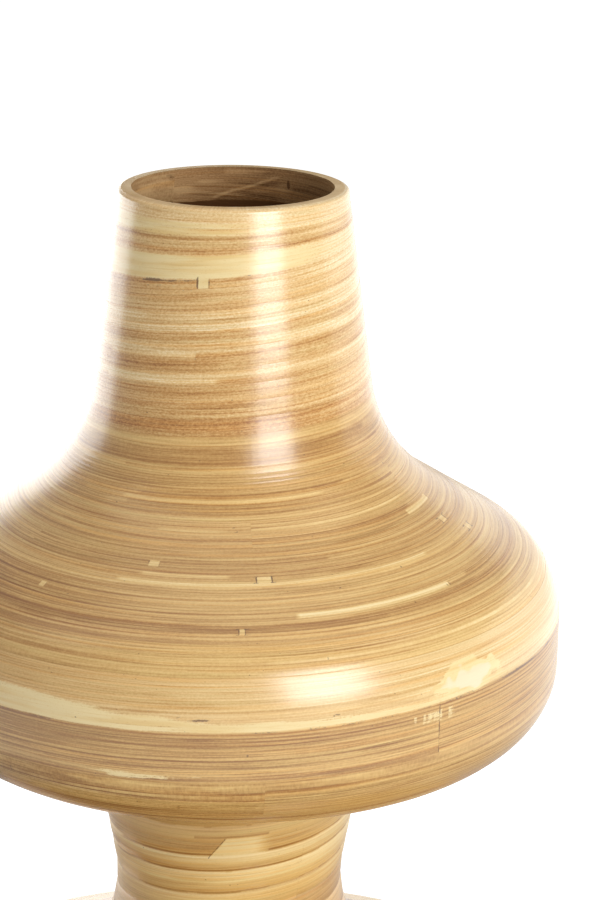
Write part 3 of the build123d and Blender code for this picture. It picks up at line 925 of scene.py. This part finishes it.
def cut_end(name, stops):
    """Bamboo cut across: fine dots of fibre ends and faint rings about the middle."""
    g = Graph(bpy.data.materials.new(name))
    place = g.add("ShaderNodeTexCoord", {}).outputs["Object"]
    dots = g.noise(g.add("ShaderNodeVectorMath", {0: place, "Scale": DOTS}, operation="SCALE").outputs[0])
    away = g.add("ShaderNodeVectorMath", {0: place}, operation="LENGTH").outputs["Value"]
    rings = g.math("SINE", g.math("MULTIPLY", away, RINGS))
    value = g.math("MULTIPLY_ADD", rings, RING_SHARE, dots)
    return g.finish(g.ramp(value, stops), END_ROUGH, dots, END_RELIEF, END_BUMP, 0.0)


# Pieces: every strip in the order of the winding, and the hub, which keeps its solid's shape
LACQUERED = bamboo("lacquered_bamboo", LACQUER_STOPS, LACQUER_LOOK)
BARE = bamboo("bare_bamboo", BARE_STOPS, BARE_LOOK)
SANDED = bamboo("sanded_rim", SANDED_STOPS, SANDED_LOOK)
MATERIALS = [LACQUERED, BARE, SANDED]
counts = {}
for number, run in enumerate(RUNS):
    middle = (run[0] + run[1] - STATIONS) / 2 / LAST_START * KNOT_TURNS[-1]
    section, _, _, _, plies = SECTIONS[int(np.sum(middle > KNOT_TURNS[1:-1]))]
    for ply in range(plies):
        counts[section] = counts.get(section, 0) + 1
        strip_piece(f"{section}_strip_{counts[section]:02d}", section, run, ply, plies, number)
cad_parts["base_hub"].data.materials.clear()
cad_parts["base_hub"].data.materials.append(cut_end("hub_end_grain", BARE_STOPS))

# Floor
floor_mesh = bpy.data.meshes.new("floor")
half = FLOOR_HALF
floor_mesh.from_pydata([(-half, -half, 0), (half, -half, 0), (half, half, 0), (-half, half, 0)], [], [(0, 1, 2, 3)])
floor = bpy.data.objects.new("floor", floor_mesh)
bpy.context.collection.objects.link(floor)
paint = Graph(bpy.data.materials.new("floor_paint"))
matte = paint.add("ShaderNodeBsdfDiffuse", {"Color": FLOOR_COLOUR})
ray = paint.add("ShaderNodeLightPath", {}).outputs
spot = paint.add("ShaderNodeNewGeometry", {}).outputs["Position"]
away = paint.add("ShaderNodeVectorMath", {0: spot}, operation="LENGTH").outputs["Value"]
glow = paint.add("ShaderNodeEmission", {"Strength": paint.step(away, *SHADOW_REACH, SHADOW_GLOW, FLOOR_GLOW)})
lit = paint.add("ShaderNodeAddShader", {0: matte.outputs[0], 1: glow.outputs[0]})
near = paint.math("MULTIPLY", paint.step(away, *SWEEP, 1.0, FAR_SHARE), paint.step(away, *FOOT_SHADE))
mirrored = paint.math("MULTIPLY", ray["Is Glossy Ray"], paint.math("MULTIPLY", near, MIRRORED_GLOW))
seen = paint.math("MAXIMUM", ray["Is Camera Ray"], mirrored)
seen = paint.math("MAXIMUM", seen, ray["Is Transmission Ray"])
surface = paint.add("ShaderNodeMixShader", {0: seen, 1: matte.outputs[0], 2: lit.outputs[0]})
paint.add("ShaderNodeOutputMaterial", {"Surface": surface.outputs[0]})
floor_mesh.materials.append(paint.owner)

# World: even light, seen as white and mirrored in part
world = bpy.data.worlds.new("studio")
bpy.context.scene.world = world
air = Graph(world)
ray = air.add("ShaderNodeLightPath", {}).outputs
seen = air.math("MULTIPLY_ADD", ray["Is Glossy Ray"], MIRRORED_SKY, ray["Is Camera Ray"])
seen = air.math("ADD", seen, ray["Is Transmission Ray"])
strength = air.math("MULTIPLY_ADD", seen, 1 - WORLD, WORLD)
sky = air.add("ShaderNodeBackground", {"Color": WORLD_COLOUR, "Strength": strength})
air.add("ShaderNodeOutputWorld", {"Surface": sky.outputs[0]})


def softbox(name, angle, elevation, distance, size, power):
    """An area lamp that far from the aim, at degrees from the front and above the horizon."""
    a, e = math.radians(angle), math.radians(elevation)
    way = Vector((math.sin(a) * math.cos(e), -math.cos(a) * math.cos(e), math.sin(e)))
    lamp = bpy.data.lights.new(name, "AREA")
    lamp.shape = "RECTANGLE"
    lamp.size, lamp.size_y = size
    lamp.energy = power
    holder = bpy.data.objects.new(name, lamp)
    holder.location = Vector(AIM) + way * distance
    holder.rotation_euler = (-way).to_track_quat("-Z", "Y").to_euler()
    bpy.context.collection.objects.link(holder)


# Soft light from the right front, bright sheets behind on both sides and a long lamp above
for lamp in LAMPS:
    softbox(*lamp)

camera = bpy.data.cameras.new("camera")
camera.lens = LENS
camera.shift_x = SHIFT_X
eye = bpy.data.objects.new("camera", camera)
tilt = Matrix.Rotation(math.radians(90 - PITCH), 4, "X") @ Matrix.Rotation(math.radians(ROLL), 4, "Z")
eye.matrix_world = Matrix.Translation(EYE) @ tilt
bpy.context.collection.objects.link(eye)
bpy.context.scene.camera = eye
bpy.context.scene.view_settings.view_transform = "Standard"
